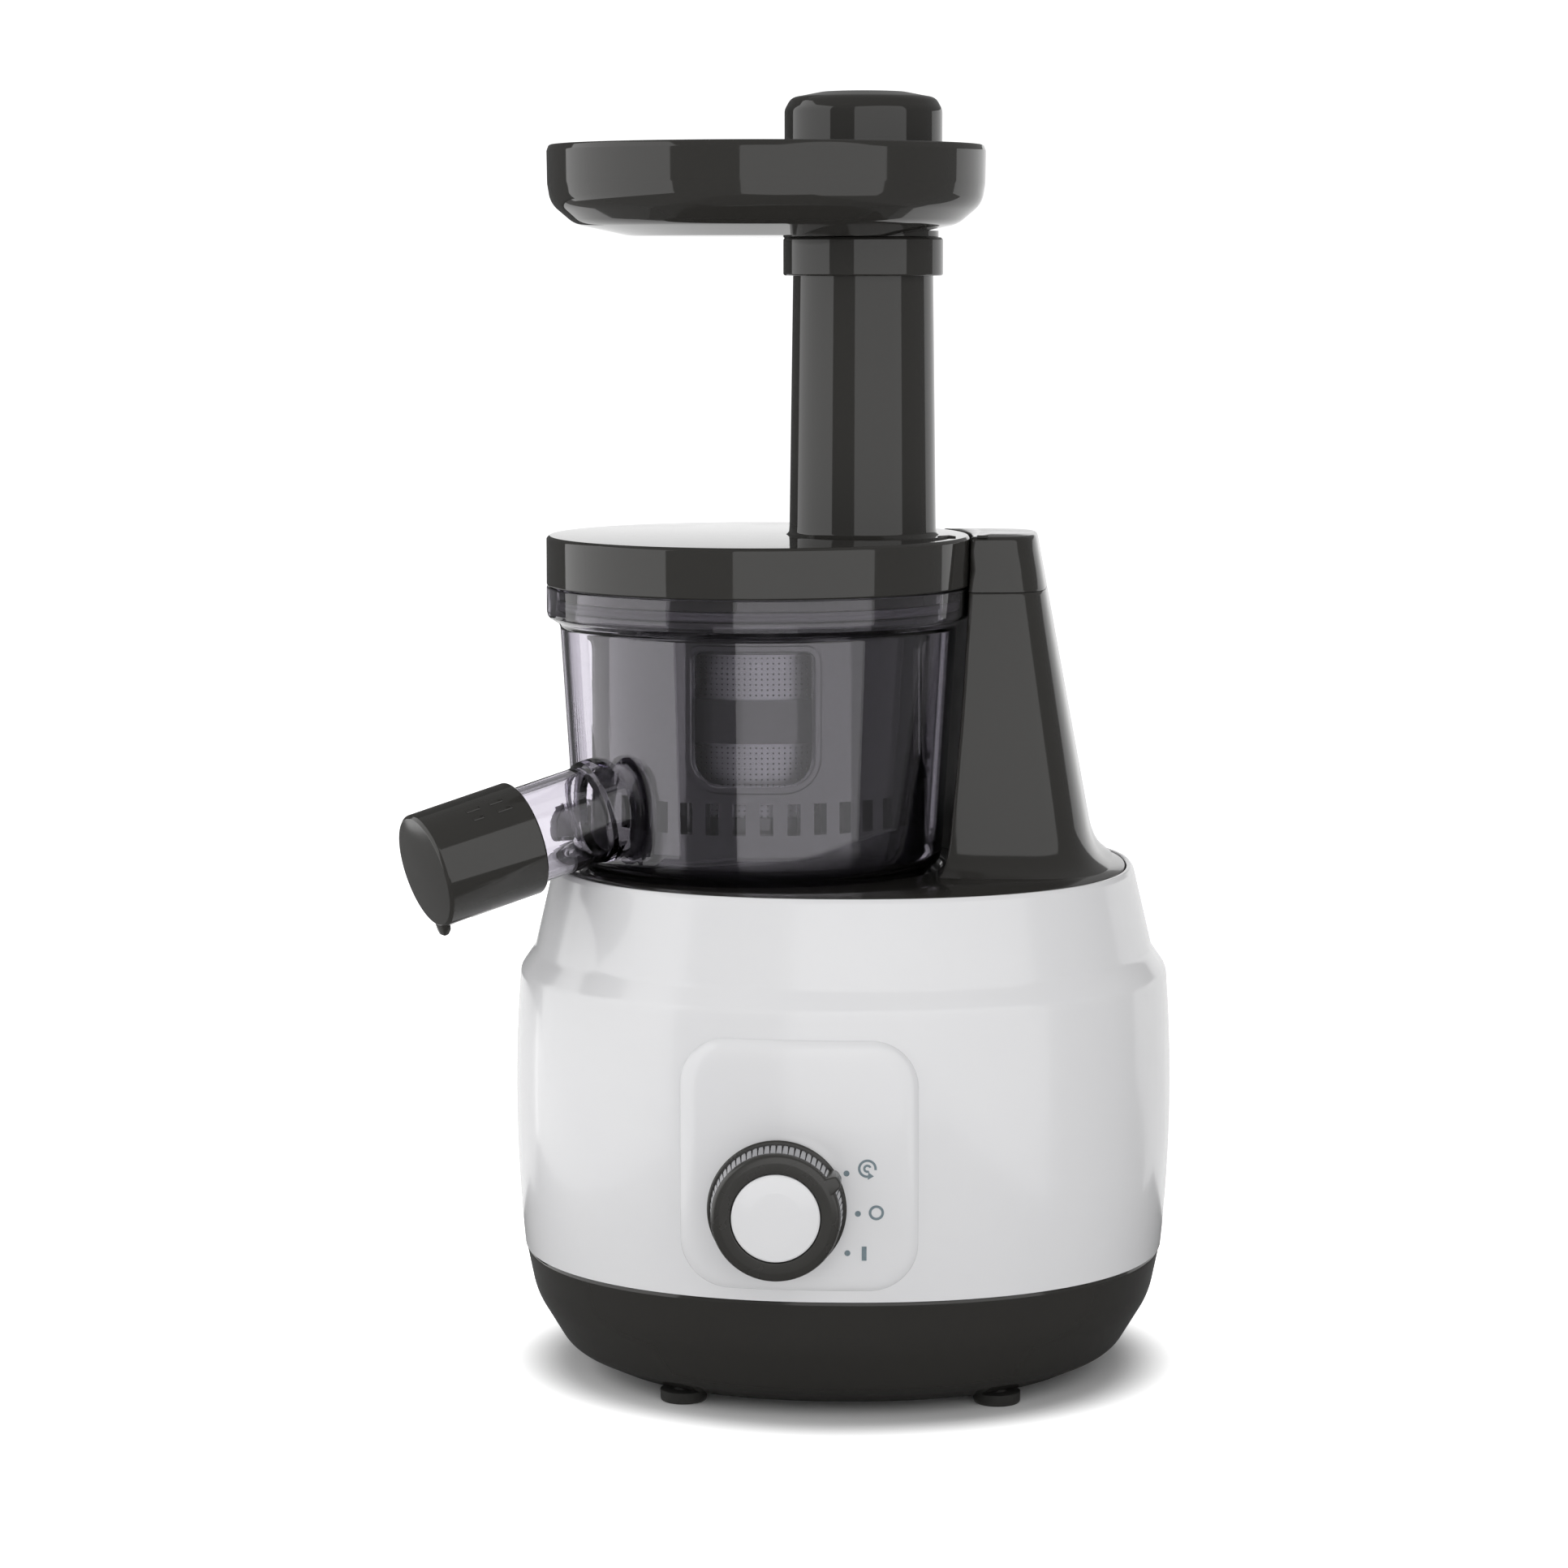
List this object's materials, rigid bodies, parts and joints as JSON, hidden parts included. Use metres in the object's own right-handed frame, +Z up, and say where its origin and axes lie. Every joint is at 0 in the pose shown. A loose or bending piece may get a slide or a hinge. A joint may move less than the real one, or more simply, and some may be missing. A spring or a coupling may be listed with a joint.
{
  "type": "cold press juicer",
  "caption": "Upright slow juicer with a white oval base, a dark side tower, a smoky clear bowl with a capped spout, a lid with a feed chute, a round tray, a pusher and a ribbed dial.",
  "frame": {"origin": "on the standing plane under the middle of the outer box", "axes": "+Z up, front with the dial towards -Y, tower on the +X side"},
  "size_m": [0.2476, 0.2156, 0.4157],
  "materials": {
    "white_gloss": "glossy white moulded ABS",
    "charcoal": "satin charcoal moulded ABS",
    "smoky_clear": "clear smoky-violet moulded copolyester",
    "smoky_cage": "translucent smoky plastic",
    "steel": "plain steel",
    "gearbox_alloy": "die-cast alloy",
    "winding": "lacquered copper winding on a core",
    "rubber_black": "black rubber",
    "black_plastic": "black plastic",
    "board": "green circuit board laminate",
    "silicone_grey": "grey silicone",
    "gear_nylon": "natural nylon"
  },
  "bodies": {
    "base": {"upper_housing": "white_gloss", "base_tub": "charcoal", "top_deck": "charcoal", "tower_cap": "charcoal", "control_panel": "white_gloss", "foot_front_left": "rubber_black", "foot_front_right": "rubber_black", "foot_back_left": "rubber_black", "foot_back_right": "rubber_black", "base_screw_front_left": "steel", "base_screw_front_right": "steel", "base_screw_back_left": "steel", "base_screw_back_right": "steel", "cord_gland": "rubber_black", "interlock_switch": "black_plastic", "rotary_switch": "black_plastic", "control_board": "board", "motor_can": "steel", "motor_end_plate": "steel", "stator": "winding", "gearbox_tray": "gearbox_alloy", "gearbox_cover": "gearbox_alloy", "shaft_seal": "rubber_black"},
    "interlock_body": {"interlock_pin": "silicone_grey"},
    "knob_body": {"knob_ring": "charcoal", "knob_disc": "white_gloss", "switch_shaft": "steel"},
    "rotor_body": {"rotor": "steel", "cooling_fan": "black_plastic"},
    "idler_body": {"idler_gear": "gear_nylon"},
    "output_body": {"output_gear": "gear_nylon", "output_shaft": "steel"},
    "bowl_body": {"juice_bowl": "smoky_clear", "strainer_frame": "charcoal", "strainer_mesh": "steel"},
    "plug_body": {"pulp_plug": "silicone_grey"},
    "spout_cap_body": {"spout_cap": "charcoal"},
    "brush_body": {"brush_cage": "smoky_cage", "brush_wiper_1": "silicone_grey", "brush_wiper_2": "silicone_grey", "brush_wiper_3": "silicone_grey", "brush_wiper_4": "silicone_grey"},
    "pinion_body": {"brush_pinion": "gear_nylon"},
    "auger_body": {"auger": "charcoal"},
    "gasket_body": {"lid_gasket": "silicone_grey"},
    "lid_body": {"lid": "charcoal"},
    "tray_body": {"feed_tray": "charcoal"},
    "pusher_body": {"pusher_shaft": "charcoal", "pusher_head": "charcoal"}
  },
  "joints": [
    {"name": "knob_turn", "type": "hinge", "parent": "base", "child": "knob_body", "pos_m": [-0.00245, -0.09195, 0.0722], "axis": [0, -1, 0], "range_deg": [-62, 0]},
    {"name": "interlock_press", "type": "slide", "parent": "base", "child": "interlock_body", "axis": [1, 0, 0], "range_m": [0, 0.0025], "stiffness_N_per_m": 200},
    {"name": "rotor_spin", "type": "hinge", "parent": "base", "child": "rotor_body", "pos_m": [0.05065, 0.00905, 0.06], "axis": [0, 0, 1], "continuous": true},
    {"name": "idler_spin", "type": "hinge", "parent": "base", "child": "idler_body", "pos_m": [0.01965, 0.00905, 0.11], "axis": [0, 0, 1], "continuous": true},
    {"name": "output_spin", "type": "hinge", "parent": "base", "child": "output_body", "pos_m": [-0.01135, 0.00905, 0.12], "axis": [0, 0, 1], "continuous": true},
    {"name": "bowl_lift", "type": "slide", "parent": "base", "child": "bowl_body", "axis": [0, 0, 1], "range_m": [0, 0.12]},
    {"name": "pulp_plug_pull", "type": "slide", "parent": "bowl_body", "child": "plug_body", "axis": [-0.9659, 0.2588, 0], "range_m": [0, 0.02]},
    {"name": "spout_cap_turn", "type": "hinge", "parent": "bowl_body", "child": "spout_cap_body", "pos_m": [-0.09967, -0.046, 0.17516], "axis": [-0.8472, -0.4677, -0.2521], "range_deg": [0, 120]},
    {"name": "brush_spin", "type": "hinge", "parent": "bowl_body", "child": "brush_body", "pos_m": [-0.01135, 0.00905, 0.2], "axis": [0, 0, 1], "continuous": true},
    {"name": "brush_pinion_spin", "type": "hinge", "parent": "bowl_body", "child": "pinion_body", "pos_m": [-0.03256, 0.03026, 0.168], "axis": [0, 0, 1], "continuous": true},
    {"name": "auger_spin", "type": "hinge", "parent": "bowl_body", "child": "auger_body", "pos_m": [-0.01135, 0.00905, 0.21], "axis": [0, 0, 1], "continuous": true},
    {"name": "lid_lift", "type": "slide", "parent": "bowl_body", "child": "gasket_body", "axis": [0, 0, 1], "range_m": [0, 0.1]},
    {"name": "lid_twist", "type": "hinge", "parent": "gasket_body", "child": "lid_body", "pos_m": [-0.01135, 0.00905, 0.265], "axis": [0, 0, 1], "range_deg": [0, 30]},
    {"name": "tray_lift", "type": "slide", "parent": "lid_body", "child": "tray_body", "axis": [0, 0, 1], "range_m": [0, 0.03]},
    {"name": "pusher_slide", "type": "slide", "parent": "tray_body", "child": "pusher_body", "axis": [0, 0, 1], "range_m": [0, 0.13]}
  ],
  "couplings": [
    {"joint": "idler_spin", "follows": "rotor_spin", "ratio": -0.25},
    {"joint": "output_spin", "follows": "rotor_spin", "ratio": 0.0625},
    {"joint": "auger_spin", "follows": "rotor_spin", "ratio": 0.0625},
    {"joint": "brush_pinion_spin", "follows": "rotor_spin", "ratio": -0.076389},
    {"joint": "brush_spin", "follows": "rotor_spin", "ratio": -0.023707}
  ]
}
